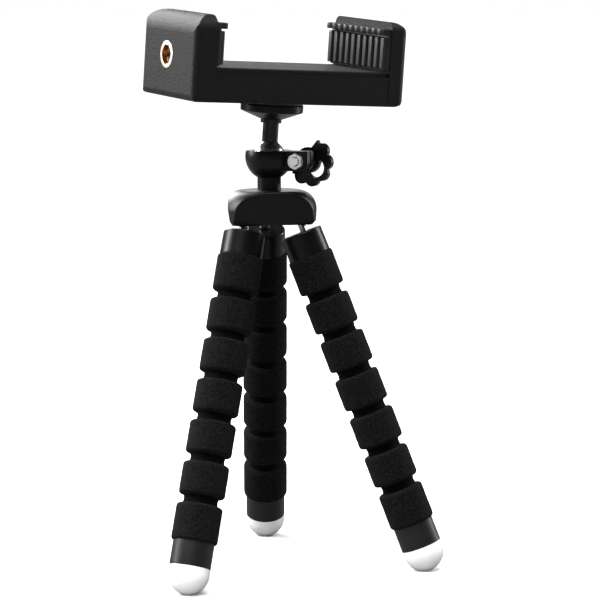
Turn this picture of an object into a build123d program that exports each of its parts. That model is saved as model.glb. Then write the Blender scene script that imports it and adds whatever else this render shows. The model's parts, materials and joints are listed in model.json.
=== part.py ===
from build123d import *
from math import cos, pi, radians, sin, sqrt, tan
import os

# Pocket tripod with three bendable foam legs, a ball head and a sprung phone clamp.
# Millimetres, +Z up, +X along the clamp. The origin is on the floor under the middle
# of the outline, and the feet stand on Z = 0.

os.makedirs("parts", exist_ok=True)

# Fits and clearances
running_fit = 0.04
thread_fit = 0.05
slip_fit = 0.1
soft_gap = 0.15
slide_gap = 0.3
sharp_edge = 0.01
facet_slope_limit = 0.5

# Legs
leg_names = ["left", "right", "rear"]
leg_turn = 191.5
leg_swings = [23.5, 11.8, -8.6]
leg_lean = 20.9
leg_circle = 9.4
bend_per_groove = 20
foam_radius = 7.0
foam_shoulder = 0.95
foam_edge_radius = foam_radius - foam_shoulder
foam_count = 7
foam_pitch = 12.6
groove_clear = 0.3
foam_spigot_radius = 5.1
foam_spigot_length = 5.0
wire_radius = 1.5
wire_bend_radius = 4.0
wire_root_length = 8.0
cap_gap = 2.2
cap_length = 7.4
cap_top_radius = 6.35
cap_open_radius = 6.5
cap_top_round = 0.5
cap_web = 2.2
end_cap_length = 7.5
end_cap_radius = 6.25
end_cap_web = 2.3
foot_radius = 6.25
foot_straight = 1.9
foot_flat_radius = 2.0
floor_cut_size = 200
foot_wire_depth = 4.0

# Hub
hub_radius = 14.9
hub_height = 10.4
hub_top_round = 6.2
hub_bottom_chamfer = 1.3
hub_facet_distance = 8.1
hub_facet_lean = 12.5
hub_facet_round = 0.7
hub_wall = 1.2
hub_roof = 2.3
hub_clear_of_pivot = 0.45
hub_base_thickness = 2.0
hub_base_recess = 0.5
hub_socket_wall = 1.5
hub_post_radius = 1.5
hub_post_circle = 4.8
hub_screw_radius = 0.75
hub_screw_head_radius = 1.3
hub_screw_head_height = 0.9
hub_screw_length = 5.0

# Ball head
neck_radius = 3.62
cup_radius = 7.3
cup_drop = 0.4
cup_rim_above_ball = 1.5
ball_radius = 4.8
ball_above_hub = 10.6
neck_screw_radius = 1.5
neck_screw_head_radius = 2.7
neck_screw_head_height = 1.8
neck_screw_grip = 3.0
head_lean = 4.3
head_lean_heading = -51.3
stem_radius = 2.42
stem_top = 10.0
collar_radius = 3.2
collar_height = 1.0
stem_spigot_radius = 1.8
stem_spigot_length = 2.2
platform_radius = 9.6
platform_cone = 2.5
platform_rim = 2.4
platform_edge_round = 0.5
platform_pad_thickness = 0.85
platform_pad_inset = 0.3

# Clamping bolt of the ball socket
ear_heading = -56.8
bolt_reach = 10.5
bolt_below_ball = 1.6
bolt_radius = 1.25
ear_end = 3.9
ear_below_bolt = 3.0
ear_thickness = 1.7
ear_corner_round = 2.6
ear_slit = 0.8
nut_across_flats = 4.4
nut_thickness = 2.0
nut_recess = 0.8
washer_radius = 2.6
washer_thickness = 0.5
knob_plate_near = 5.5
knob_plate_thickness = 1.6
knob_boss_radius = 3.1
knob_collar_radius = 4.0
knob_heading = -41
knob_offset = 0.8
knob_rim_radius = 6.3
knob_lobe_radius = 2.4
knob_lobe_circle = 5.2
knob_lobe_count = 7
knob_lobe_step = 41
knob_chord_distance = 2.4
knob_window_radius = 2.9
knob_window_offset = 3.5
bolt_past_nut = 1.0
bolt_head_across_flats = 4.0
bolt_head_height = 1.4

# Camera threads, 1/4 inch by 20 turns per inch
quarter_inch_major_radius = 3.175
quarter_inch_minor_radius = 2.6
mount_screw_reach = 5.0
mount_screw_head_radius = 4.4
mount_screw_head_height = 1.8
mount_screw_chamfer = 0.5
insert_radius = 4.13
insert_mouth_chamfer = 0.3
end_insert_length = 6.4
end_insert_height = 12.8
end_insert_set_back = 1.3
base_insert_length = 6.2

# Phone clamp, in its own frame: X along the travel, Z up from its underside
phone_gap_closed = 53.9
clamp_depth = 35.6
jaw_height = 25.8
fixed_jaw_thickness = 7.35
sliding_jaw_thickness = 5.75
base_height = 8.9
tray_thickness = 1.6
jaw_end_round = 6.0
sliding_jaw_end_round = 5.2
sliding_jaw_bottom_round = 3.4
jaw_side_round = 4.5
fixed_jaw_bottom_round = 2.0
sliding_jaw_side_round = 2.6
base_bottom_round = 1.5
clamp_corner_round = 2.0
tray_edge_chamfer = 0.3
channel_wall = 2.6
channel_floor = 2.2
channel_left_wall = 1.6
seam_gap = 0.25
tray_end_gap = 0.3
tray_side_inset = 0.5
tray_corner_round = 0.8
base_boss_wall = 1.5
cover_screw_radius = 0.9
cover_screw_head_radius = 1.7
cover_screw_head_height = 1.0
cover_screw_bite = 0.9
cover_post_radius = 2.4
cover_post_from_boss = 3.9
cover_post_pitch = 7.6

# Jaw pads
pad_base = 1.2
pad_rib_depth = 1.4
pad_rib_count = 10
pad_rib_pitch = 3.6
pad_rib_width = 2.2
pad_margin = 0.5
pad_above_tray = 0.3
pad_top_inset = 2.2
pad_side_inset = 0.3
pad_lip_height = 1.8
pad_lip_reach = 1.2
pad_lip_gap = 0.6
pad_tooth_count = 10
pad_notch_radius = 0.75

# Tongue, pins and springs of the sliding jaw
tongue_end = 22.0
tongue_in_channel = 22.1
fork_slot_half_width = 6.5
fork_slot_clear = 0.6
spring_groove_width = 4.6
spring_groove_floor = 1.0
spring_groove_wall = 1.5
spring_wire_radius = 0.25
spring_coil_radius = 1.65
spring_turns = 13
spring_pitch = 1.1
spring_samples = 2000
spring_near_turns = 0.6
pin_radius = 0.9
pin_hook_clear = 0.12
fixed_pin_from_end = 3.2
sliding_pin_from_end = 18.8
pin_press_depth = 0.9
pin_above_spring = 1.6

# Places worked out from the sizes above
leg_count = len(leg_names)
cap_top = cap_gap
foam_top = cap_top + cap_length
foam_end = foam_top + foam_count * foam_pitch
foot_top = foam_end + end_cap_length
dome_centre = foot_top + foot_straight
foot_centre_height = sqrt(foot_radius**2 - foot_flat_radius**2)
pivot_height = foot_centre_height + dome_centre * cos(radians(leg_lean))
leg_headings = [leg_turn + index * 360 / leg_count for index in range(leg_count)]
lean_headings = [heading + swing for heading, swing in zip(leg_headings, leg_swings)]


def around(radius, heading):
    """Point of the floor plan at this radius and heading from the hub's axis."""
    return Vector(radius * cos(radians(heading)), radius * sin(radians(heading)), 0)


foot_reach = dome_centre * sin(radians(leg_lean))
foot_points = [
    around(leg_circle, leg) + around(foot_reach, lean)
    for leg, lean in zip(leg_headings, lean_headings)
]
hub_x = -(max(p.X for p in foot_points) + min(p.X for p in foot_points)) / 2
hub_y = -(max(p.Y for p in foot_points) + min(p.Y for p in foot_points)) / 2

hub_bottom = pivot_height + hub_clear_of_pivot
hub_top = hub_bottom + hub_height
ball_height = hub_top + ball_above_hub
facet_headings = [heading + 180 / leg_count for heading in leg_headings]
wire_hole_radius = wire_radius + slip_fit
socket_radius = wire_hole_radius + hub_socket_wall

hub_axis = Plane(origin=(hub_x, hub_y, 0))


def level(height):
    """Level plane at this height, centred on the hub's axis."""
    return hub_axis.offset(height)


def moved(plane, x=0, y=0, z=0):
    """The same plane with its origin moved along its own axes."""
    return Plane(origin=plane.from_local_coords((x, y, z)), x_dir=plane.x_dir, z_dir=plane.z_dir)


def side_of(plane):
    """Plane for a turned outline: X stays, and Y runs along the given plane's normal."""
    return Plane(origin=plane.origin, x_dir=plane.x_dir, z_dir=-plane.y_dir)


def axis_of(plane):
    """The given plane's normal, as an axis to turn about."""
    return Axis(plane.origin, plane.z_dir)


def write(piece, name):
    """Label a finished piece and write it under the same name."""
    piece.part.label = name
    export_step(piece.part, f"parts/{name}.step")


# Directions of the leaning head. Everything on the ball stands along head.z_dir.
lean_side = around(sin(radians(head_lean)), head_lean_heading)
head_up = Vector(lean_side.X, lean_side.Y, cos(radians(head_lean)))
head_right = (Vector(1, 0, 0) - head_up * head_up.X).normalized()
ball_point = Vector(hub_x, hub_y, ball_height)
head = Plane(origin=ball_point, x_dir=head_right, z_dir=head_up)

cone_bottom = stem_top + collar_height
rim_bottom = cone_bottom + platform_cone
platform_top = rim_bottom + platform_rim
pad_top = platform_top + platform_pad_thickness
clamp = head.offset(pad_top + soft_gap)


# Hub shell: a low dome with a flat facet between each pair of legs
def dome(radius, facet_distance, bottom, top, top_round, chamfer):
    """Domed lobed block, cut between the legs by facets that lean out towards the top."""
    with BuildPart() as block:
        with BuildSketch(side_of(level(bottom))):
            with BuildLine():
                Polyline(
                    (0, 0),
                    (radius - chamfer, 0),
                    (radius, chamfer),
                    (radius, top - bottom - top_round),
                )
                RadiusArc(
                    (radius, top - bottom - top_round),
                    (radius - top_round, top - bottom),
                    -top_round,
                )
                Polyline((radius - top_round, top - bottom), (0, top - bottom), (0, 0))
            make_face()
        revolve(axis=axis_of(level(bottom)))
        for heading in facet_headings:
            foot = level(bottom).origin + around(facet_distance, heading)
            outward = around(cos(radians(hub_facet_lean)), heading)
            lean = Vector(outward.X, outward.Y, -sin(radians(hub_facet_lean)))
            with BuildSketch(Plane(origin=foot, x_dir=around(1, heading + 90), z_dir=lean)):
                Rectangle(4 * radius, 4 * radius)
            extrude(amount=2 * radius, mode=Mode.SUBTRACT)
    return block.part


hub_outside = dome(
    hub_radius, hub_facet_distance, hub_bottom, hub_top, hub_top_round, hub_bottom_chamfer
)
hub_inside = dome(
    hub_radius - hub_wall,
    hub_facet_distance - hub_wall,
    hub_bottom,
    hub_top - hub_roof,
    hub_top_round - hub_wall,
    sharp_edge,
)
base_bottom = hub_bottom + hub_base_recess
base_top = base_bottom + hub_base_thickness
roof_bottom = hub_top - hub_roof

with BuildPart() as hub_shell:
    add(hub_outside)
    facets = hub_shell.faces().filter_by(GeomType.PLANE).filter_by(
        lambda face: abs(face.normal_at().Z) < facet_slope_limit
    )
    fillet(facets.edges(), hub_facet_round)
    add(hub_inside, mode=Mode.SUBTRACT)
    with BuildSketch(level(base_top)):
        with PolarLocations(leg_circle, leg_count, start_angle=leg_headings[0]):
            Circle(socket_radius)
        with PolarLocations(hub_post_circle, leg_count, start_angle=facet_headings[0]):
            Circle(hub_post_radius)
    extrude(amount=roof_bottom - base_top)
    with BuildSketch(level(base_top)):
        with PolarLocations(leg_circle, leg_count, start_angle=leg_headings[0]):
            Circle(wire_hole_radius)
    extrude(amount=wire_root_length - hub_clear_of_pivot - (base_top - hub_bottom), mode=Mode.SUBTRACT)
    with BuildSketch(level(base_top)):
        with PolarLocations(hub_post_circle, leg_count, start_angle=facet_headings[0]):
            Circle(hub_screw_radius)
    extrude(amount=hub_screw_length, mode=Mode.SUBTRACT)
    with BuildSketch(level(roof_bottom)):
        Circle(neck_screw_radius + slip_fit)
    extrude(amount=hub_roof, mode=Mode.SUBTRACT)
write(hub_shell, "hub_shell")

# Hub base: the plate that closes the shell from below and lets the leg wires through
base_plan = dome(
    hub_radius - hub_wall - slip_fit,
    hub_facet_distance - hub_wall - slip_fit,
    base_bottom,
    base_top,
    sharp_edge,
    sharp_edge,
)
with BuildPart() as hub_base:
    add(base_plan)
    with BuildSketch(level(base_bottom)):
        with PolarLocations(leg_circle, leg_count, start_angle=leg_headings[0]):
            Circle(wire_hole_radius)
        with PolarLocations(hub_post_circle, leg_count, start_angle=facet_headings[0]):
            Circle(hub_screw_radius + slip_fit)
    extrude(amount=hub_base_thickness, mode=Mode.SUBTRACT)
    with BuildSketch(level(base_bottom)):
        with PolarLocations(hub_post_circle, leg_count, start_angle=facet_headings[0]):
            Circle(hub_screw_head_radius + slip_fit)
    extrude(amount=hub_screw_head_height, mode=Mode.SUBTRACT)
write(hub_base, "hub_base")

# Hub screws: three short pan heads between the legs
with BuildPart() as hub_screws:
    with BuildSketch(level(base_bottom)):
        with PolarLocations(hub_post_circle, leg_count, start_angle=facet_headings[0]):
            Circle(hub_screw_head_radius)
    extrude(amount=hub_screw_head_height)
    with BuildSketch(level(base_bottom)):
        with PolarLocations(hub_post_circle, leg_count, start_angle=facet_headings[0]):
            Circle(hub_screw_radius)
    extrude(amount=hub_screw_length)
write(hub_screws, "hub_screws")


# Legs
def foam_outline(start, end, top_half_gap, bottom_half_gap):
    """Half outline of one foam barrel between two bending planes across the leg."""
    bore = wire_radius + slip_fit
    slope = tan(radians(bend_per_groove / 2))
    Polyline(
        (bore, start + top_half_gap(bore, slope)),
        (foam_edge_radius, start + top_half_gap(foam_edge_radius, slope)),
    )
    shoulder_top = start + top_half_gap(foam_edge_radius, slope) + foam_shoulder
    RadiusArc(
        (foam_edge_radius, start + top_half_gap(foam_edge_radius, slope)),
        (foam_radius, shoulder_top),
        -foam_shoulder,
    )
    shoulder_bottom = end - bottom_half_gap(foam_edge_radius, slope) - foam_shoulder
    Line((foam_radius, shoulder_top), (foam_radius, shoulder_bottom))
    RadiusArc(
        (foam_radius, shoulder_bottom),
        (foam_edge_radius, end - bottom_half_gap(foam_edge_radius, slope)),
        -foam_shoulder,
    )
    Polyline(
        (foam_edge_radius, end - bottom_half_gap(foam_edge_radius, slope)),
        (bore, end - bottom_half_gap(bore, slope)),
        (bore, start + top_half_gap(bore, slope)),
    )


def bending_gap(radius, slope):
    """Half the groove at this radius: room for half of the bend, and a little more."""
    return groove_clear + radius * slope


def no_gap(radius, slope):
    """An end of the foam that meets a cap face to face."""
    return 0


def foam_barrel(leg, number):
    """One barrel of the foam sleeve, with a spigot where it plugs into a cap."""
    start = foam_top + (number - 1) * foam_pitch
    end = start + foam_pitch
    with BuildPart() as barrel:
        with BuildSketch(side_of(leg)):
            with BuildLine():
                foam_outline(
                    start,
                    end,
                    no_gap if number == 1 else bending_gap,
                    no_gap if number == foam_count else bending_gap,
                )
            make_face()
        revolve(axis=axis_of(leg))
        if number == 1:
            with BuildSketch(leg.offset(start)):
                Circle(foam_spigot_radius)
                Circle(wire_radius + slip_fit, mode=Mode.SUBTRACT)
            extrude(amount=-foam_spigot_length)
        if number == foam_count:
            with BuildSketch(leg.offset(end)):
                Circle(foam_spigot_radius)
                Circle(wire_radius + slip_fit, mode=Mode.SUBTRACT)
            extrude(amount=end_cap_length - end_cap_web - slip_fit)
    return barrel


def top_cap(leg):
    """Plastic ferrule at the top of a leg, open below where the foam plugs in."""
    with BuildPart() as cap:
        with BuildSketch(leg.offset(cap_top)):
            Circle(cap_top_radius)
        with BuildSketch(leg.offset(foam_top)):
            Circle(cap_open_radius)
        loft()
        fillet(cap.edges().filter_by(GeomType.CIRCLE).sort_by(axis_of(leg))[0], cap_top_round)
        with BuildSketch(leg.offset(foam_top)):
            Circle(foam_spigot_radius + slip_fit)
        extrude(amount=cap_web - cap_length, mode=Mode.SUBTRACT)
        with BuildSketch(leg.offset(cap_top)):
            Circle(wire_hole_radius)
        extrude(amount=cap_web, mode=Mode.SUBTRACT)
    return cap


def end_cap(leg):
    """Lower ferrule, which joins the foam to the foot around a web."""
    with BuildPart() as cap:
        with BuildSketch(leg.offset(foam_end)):
            Circle(end_cap_radius)
            Circle(foam_spigot_radius + slip_fit, mode=Mode.SUBTRACT)
        extrude(amount=end_cap_length - end_cap_web)
        with BuildSketch(leg.offset(foot_top - end_cap_web)):
            Circle(end_cap_radius)
            Circle(wire_hole_radius, mode=Mode.SUBTRACT)
        extrude(amount=end_cap_web)
    return cap


def foot(leg):
    """Domed foot with a level flat where it meets the floor."""
    with BuildPart() as dome_foot:
        with BuildSketch(side_of(leg)):
            with BuildLine():
                Polyline((0, foot_top), (foot_radius, foot_top), (foot_radius, dome_centre))
                RadiusArc((foot_radius, dome_centre), (0, dome_centre + foot_radius), -foot_radius)
                Line((0, dome_centre + foot_radius), (0, foot_top))
            make_face()
        revolve(axis=axis_of(leg))
        with BuildSketch(leg.offset(foot_top)):
            Circle(wire_hole_radius)
        extrude(amount=foot_wire_depth, mode=Mode.SUBTRACT)
        with BuildSketch(Plane.XY):
            Rectangle(floor_cut_size, floor_cut_size)
        extrude(amount=-foot_radius, mode=Mode.SUBTRACT)
    return dome_foot


def leg_wire(leg, pivot):
    """Bendable wire: upright in the hub, then down the middle of the leg."""
    run = wire_bend_radius * tan(radians(leg_lean / 2))
    top = pivot + Vector(0, 0, wire_root_length)
    bend_start = pivot + Vector(0, 0, run)
    bend_end = pivot + leg.z_dir * run
    end = pivot + leg.z_dir * (foot_top + foot_wire_depth - slip_fit)
    with BuildPart() as wire:
        with BuildLine() as path:
            Line(top, bend_start)
            TangentArc(bend_start, bend_end, tangent=(0, 0, -1))
            Line(bend_end, end)
        with BuildSketch(Plane(origin=top, z_dir=(0, 0, -1))):
            Circle(wire_radius)
        sweep(path=path.wires()[0])
    return wire


for name, leg_heading, lean_heading in zip(leg_names, leg_headings, lean_headings):
    pivot = Vector(hub_x, hub_y, pivot_height) + around(leg_circle, leg_heading)
    outward = around(1, lean_heading)
    down_leg = outward * sin(radians(leg_lean)) - Vector(0, 0, cos(radians(leg_lean)))
    leg = Plane(origin=pivot, x_dir=around(1, lean_heading + 90), z_dir=down_leg)
    write(leg_wire(leg, pivot), f"{name}_leg_wire")
    write(top_cap(leg), f"{name}_leg_top_cap")
    for number in range(1, foam_count + 1):
        write(foam_barrel(leg, number), f"{name}_leg_foam_{number}")
    write(end_cap(leg), f"{name}_leg_end_cap")
    write(foot(leg), f"{name}_leg_foot")

# Ball socket: a split cup on a neck, with two ears that the bolt draws together
ear_out = around(1, ear_heading)
ear_across = around(1, ear_heading + 90)
cup_centre = ball_height - cup_drop
cup_rim = ball_height + cup_rim_above_ball
bolt_height = ball_height - bolt_below_ball
ear_half = ear_slit / 2 + ear_thickness
bolt_point = Vector(hub_x, hub_y, bolt_height) + ear_out * bolt_reach
# Seen from the nut: X points away from the cup and Y points up
bolt = Plane(origin=bolt_point, x_dir=ear_out, z_dir=-ear_across)
ear_bottom = -ear_below_bolt
ear_top = cup_rim - bolt_height

with BuildPart() as socket_cup:
    with BuildSketch(side_of(level(0))):
        with Locations((0, cup_centre)):
            Circle(cup_radius)
        with Locations((0, hub_top)):
            Rectangle(2 * neck_radius, cup_centre - hub_top, align=(Align.CENTER, Align.MIN))
        with Locations((0, cup_rim)):
            Rectangle(4 * cup_radius, cup_radius, align=(Align.CENTER, Align.MIN), mode=Mode.SUBTRACT)
        Rectangle(
            2 * cup_radius, 2 * cup_rim, align=(Align.MAX, Align.CENTER), mode=Mode.SUBTRACT
        )
    revolve(axis=axis_of(level(0)))
    with BuildSketch(bolt.offset(-ear_half)) as ear_side:
        with Locations((ear_end, ear_bottom)):
            Rectangle(ear_end + bolt_reach, ear_top - ear_bottom, align=(Align.MAX, Align.MIN))
        fillet(ear_side.vertices().group_by(Axis.X)[-1].sort_by(Axis.Y)[0], ear_corner_round)
    extrude(amount=2 * ear_half)
    with BuildSketch(side_of(head)):
        Circle(ball_radius + running_fit)
        Rectangle(4 * ball_radius, 4 * ball_radius, align=(Align.MAX, Align.CENTER), mode=Mode.SUBTRACT)
    revolve(axis=axis_of(head), mode=Mode.SUBTRACT)
    with BuildSketch(bolt.offset(-ear_slit / 2)):
        with Locations((2 * ear_end, ear_bottom)):
            Rectangle(
                2 * ear_end + bolt_reach - ball_radius / 2,
                2 * (ear_top - ear_bottom),
                align=(Align.MAX, Align.MIN),
            )
    extrude(amount=ear_slit, mode=Mode.SUBTRACT)
    with BuildSketch(bolt.offset(-ear_half)):
        Circle(bolt_radius + slip_fit)
    extrude(amount=2 * ear_half, mode=Mode.SUBTRACT)
    with BuildSketch(bolt.offset(ear_half)):
        RegularPolygon(nut_across_flats / 2 + running_fit, 6, major_radius=False)
    extrude(amount=-nut_recess, mode=Mode.SUBTRACT)
    with BuildSketch(level(hub_top)):
        Circle(neck_screw_radius)
    extrude(amount=neck_screw_grip, mode=Mode.SUBTRACT)
write(socket_cup, "socket_cup")

# Neck screw: holds the socket on the hub from inside
with BuildPart() as neck_screw:
    with BuildSketch(level(roof_bottom)):
        Circle(neck_screw_head_radius)
    extrude(amount=-neck_screw_head_height)
    with BuildSketch(level(roof_bottom)):
        Circle(neck_screw_radius)
    extrude(amount=hub_roof + neck_screw_grip)
write(neck_screw, "neck_screw")

# Ball
with BuildPart(head) as ball:
    Sphere(ball_radius)
write(ball, "ball")

# Stem: seated on the ball, with a collar under the platform
with BuildPart() as stem:
    with BuildSketch(head):
        Circle(stem_radius)
    extrude(amount=stem_top)
    with BuildSketch(head.offset(stem_top)):
        Circle(collar_radius)
    extrude(amount=collar_height)
    with BuildSketch(head.offset(cone_bottom)):
        Circle(stem_spigot_radius)
    extrude(amount=stem_spigot_length)
    with BuildSketch(side_of(head)):
        Circle(ball_radius + running_fit)
        Rectangle(4 * ball_radius, 4 * ball_radius, align=(Align.MAX, Align.CENTER), mode=Mode.SUBTRACT)
    revolve(axis=axis_of(head), mode=Mode.SUBTRACT)
write(stem, "stem")

# Nut, washer, bolt and knob of the socket
with BuildPart() as clamp_nut:
    with BuildSketch(bolt.offset(ear_half - nut_recess)):
        RegularPolygon(nut_across_flats / 2, 6, major_radius=False)
        Circle(bolt_radius + thread_fit, mode=Mode.SUBTRACT)
    extrude(amount=nut_thickness)
write(clamp_nut, "clamp_nut")

washer_near = -ear_half - running_fit
with BuildPart() as clamp_washer:
    with BuildSketch(bolt.offset(washer_near)):
        Circle(washer_radius)
        Circle(bolt_radius + slip_fit, mode=Mode.SUBTRACT)
    extrude(amount=-washer_thickness)
write(clamp_washer, "clamp_washer")

knob_near = washer_near - washer_thickness - running_fit
knob_back = -knob_plate_near - knob_plate_thickness
bolt_head_bottom = knob_back + bolt_head_height
bolt_tip = ear_half - nut_recess + nut_thickness + bolt_past_nut - nut_recess / 2
with BuildPart() as clamp_bolt:
    with BuildSketch(bolt.offset(knob_back)):
        RegularPolygon(bolt_head_across_flats / 2, 6, major_radius=False)
    extrude(amount=bolt_head_height)
    with BuildSketch(bolt.offset(bolt_head_bottom)):
        Circle(bolt_radius)
    extrude(amount=bolt_tip - bolt_head_bottom)
write(clamp_bolt, "clamp_bolt")

# Knob: a lobed disc set off to one side of the bolt and cut flat on the other
disc = around(knob_offset, knob_heading)
window = around(knob_window_offset, knob_heading)
flat_side = disc - around(knob_chord_distance, knob_heading)
lobe_half_turn = knob_lobe_step * (knob_lobe_count - 1) / 2
with BuildPart() as clamp_knob:
    with BuildSketch(bolt.offset(knob_back)):
        with Locations((disc.X, disc.Y)):
            Circle(knob_rim_radius)
            with PolarLocations(
                knob_lobe_circle,
                knob_lobe_count,
                start_angle=knob_heading - lobe_half_turn,
                angular_range=2 * lobe_half_turn,
                endpoint=True,
            ):
                Circle(knob_lobe_radius)
        with Locations(Location((flat_side.X, flat_side.Y, 0), (0, 0, knob_heading))):
            Rectangle(
                2 * knob_rim_radius,
                4 * knob_rim_radius,
                align=(Align.MAX, Align.CENTER),
                mode=Mode.SUBTRACT,
            )
        with Locations((window.X, window.Y)):
            Circle(knob_window_radius, mode=Mode.SUBTRACT)
        Circle(knob_collar_radius)
    extrude(amount=knob_plate_thickness)
    with BuildSketch(bolt.offset(-knob_plate_near)):
        Circle(knob_boss_radius)
    extrude(amount=knob_near + knob_plate_near)
    with BuildSketch(bolt.offset(knob_near)):
        Circle(bolt_radius)
    extrude(amount=knob_back - knob_near, mode=Mode.SUBTRACT)
    with BuildSketch(bolt.offset(knob_back)):
        RegularPolygon(bolt_head_across_flats / 2, 6, major_radius=False)
    extrude(amount=bolt_head_height, mode=Mode.SUBTRACT)
write(clamp_knob, "clamp_knob")

# Platform: a coned disc with the camera screw standing through it
screw_head_top = platform_top - mount_screw_head_height / 2
screw_head_bottom = screw_head_top - mount_screw_head_height
with BuildPart() as platform:
    with BuildSketch(side_of(head)) as platform_side:
        with BuildLine():
            Polyline(
                (0, cone_bottom),
                (collar_radius, cone_bottom),
                (platform_radius, rim_bottom),
                (platform_radius, platform_top),
                (0, platform_top),
                (0, cone_bottom),
            )
        make_face()
        fillet(platform_side.vertices().group_by(Axis.X)[-1], platform_edge_round)
    revolve(axis=axis_of(head))
    with BuildSketch(head.offset(cone_bottom)):
        Circle(stem_spigot_radius + running_fit)
    extrude(amount=stem_spigot_length, mode=Mode.SUBTRACT)
    with BuildSketch(head.offset(screw_head_bottom)):
        Circle(mount_screw_head_radius)
    extrude(amount=platform_top - screw_head_bottom, mode=Mode.SUBTRACT)
write(platform, "platform")

with BuildPart() as platform_pad:
    with BuildSketch(head.offset(platform_top)):
        Circle(platform_radius - platform_pad_inset)
        Circle(quarter_inch_major_radius + slip_fit, mode=Mode.SUBTRACT)
    extrude(amount=platform_pad_thickness)
write(platform_pad, "platform_pad")

with BuildPart() as mount_screw:
    with BuildSketch(head.offset(screw_head_bottom)):
        Circle(mount_screw_head_radius)
    extrude(amount=mount_screw_head_height)
    with BuildSketch(head.offset(screw_head_top)):
        Circle(quarter_inch_major_radius)
    extrude(amount=pad_top + soft_gap + mount_screw_reach - screw_head_top)
    chamfer(mount_screw.edges().filter_by(GeomType.CIRCLE).sort_by(axis_of(head))[-1], mount_screw_chamfer)
write(mount_screw, "mount_screw")

# Phone clamp: places along its own X, from the fixed jaw to the sliding one
pad_thickness = pad_base + pad_rib_depth
clamp_length = phone_gap_closed + 2 * pad_thickness + fixed_jaw_thickness + sliding_jaw_thickness
left_end = -clamp_length / 2
right_end = clamp_length / 2
fixed_face = left_end + fixed_jaw_thickness
sliding_face = right_end - sliding_jaw_thickness
base_end = sliding_face - seam_gap
jaw_travel = base_end + tongue_end - tongue_in_channel
tray_bottom = base_height
tray_top = base_height + tray_thickness
clamp_front = moved(clamp, y=-clamp_depth / 2)
clamp_side = side_of(clamp_front)
clamp_end = Plane(origin=clamp.origin, x_dir=clamp.y_dir, z_dir=clamp.x_dir)


def clamp_moulding(corners, rounds, side_round, left, right):
    """Moulding of the clamp: a side outline run through the depth, its long corners rounded."""
    with BuildPart() as block:
        with BuildSketch(clamp_side) as side:
            with BuildLine():
                Polyline(*corners, close=True)
            make_face()
            for corner, corner_round in rounds:
                fillet(side.vertices().sort_by_distance(corner)[0], corner_round)
        extrude(amount=-clamp_depth)
        with BuildSketch(clamp_end.offset(left)) as end:
            with Locations((0, jaw_height / 2)):
                Rectangle(clamp_depth, jaw_height)
            fillet(end.vertices().group_by(Axis.Y)[-1], side_round)
            fillet(end.vertices().group_by(Axis.Y)[0], base_bottom_round)
        extrude(amount=right - left, mode=Mode.INTERSECT)
        with BuildSketch(clamp) as plan:
            with Locations(((left + right) / 2, 0)):
                Rectangle(right - left, clamp_depth)
            outer_corners = plan.vertices().group_by(Axis.X)[0 if rounds[0][0][0] < 0 else -1]
            fillet(outer_corners, clamp_corner_round)
        extrude(amount=jaw_height, mode=Mode.INTERSECT)
    return block.part


# Clamp body: the fixed jaw and the channel that guides the sliding jaw, in one moulding
boss_radius = insert_radius + base_boss_wall
boss_top = base_insert_length
post_places = [-boss_radius - cover_post_from_boss - index * cover_post_pitch for index in range(2)]
channel_left = fixed_face - channel_left_wall + pad_thickness
channel_half = clamp_depth / 2 - channel_wall
body_block = clamp_moulding(
    [
        (left_end, 0),
        (base_end, 0),
        (base_end, base_height),
        (fixed_face, base_height),
        (fixed_face, jaw_height),
        (left_end, jaw_height),
    ],
    [
        ((left_end, jaw_height, 0), jaw_end_round),
        ((left_end, 0, 0), fixed_jaw_bottom_round),
    ],
    jaw_side_round,
    left_end,
    base_end,
)
spring_line = channel_half - slide_gap - spring_groove_wall - spring_groove_width / 2
tongue_half = channel_half - slide_gap
tongue_bottom = channel_floor + slide_gap
tongue_top = base_height - slide_gap
groove_floor = tongue_bottom + spring_groove_floor
spring_outer = spring_coil_radius + spring_wire_radius
spring_height = groove_floor + spring_outer + slide_gap
pin_top = spring_height + pin_above_spring
fixed_pin_x = -tongue_end - fixed_pin_from_end
sliding_pin_x = -tongue_end + sliding_pin_from_end

with BuildPart() as clamp_body:
    add(body_block)
    with BuildSketch(moved(clamp, z=channel_floor)):
        with Locations(((channel_left + base_end) / 2, 0)):
            Rectangle(base_end - channel_left, 2 * channel_half)
    extrude(amount=base_height - channel_floor, mode=Mode.SUBTRACT)
    with BuildSketch(moved(clamp, z=channel_floor)):
        Circle(boss_radius)
    extrude(amount=boss_top - channel_floor)
    with BuildSketch(moved(clamp, z=channel_floor)):
        with Locations(*[(x, 0) for x in post_places]):
            Circle(cover_post_radius)
    extrude(amount=base_height - channel_floor)
    with BuildSketch(clamp):
        Circle(insert_radius)
    extrude(amount=base_insert_length, mode=Mode.SUBTRACT)
    with BuildSketch(clamp):
        with Locations(*[(x, 0) for x in post_places]):
            Circle(cover_screw_radius + slip_fit)
    extrude(amount=base_height, mode=Mode.SUBTRACT)
    with BuildSketch(clamp):
        with Locations(*[(x, 0) for x in post_places]):
            Circle(cover_screw_head_radius + slip_fit)
    extrude(amount=cover_screw_head_height, mode=Mode.SUBTRACT)
    with BuildSketch(clamp_end.offset(left_end)):
        with Locations((end_insert_set_back, end_insert_height)):
            Circle(insert_radius)
    extrude(amount=end_insert_length, mode=Mode.SUBTRACT)
    with BuildSketch(moved(clamp, z=channel_floor)):
        with Locations((fixed_pin_x, spring_line), (fixed_pin_x, -spring_line)):
            Circle(pin_radius)
    extrude(amount=-pin_press_depth, mode=Mode.SUBTRACT)
write(clamp_body, "clamp_body")


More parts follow.
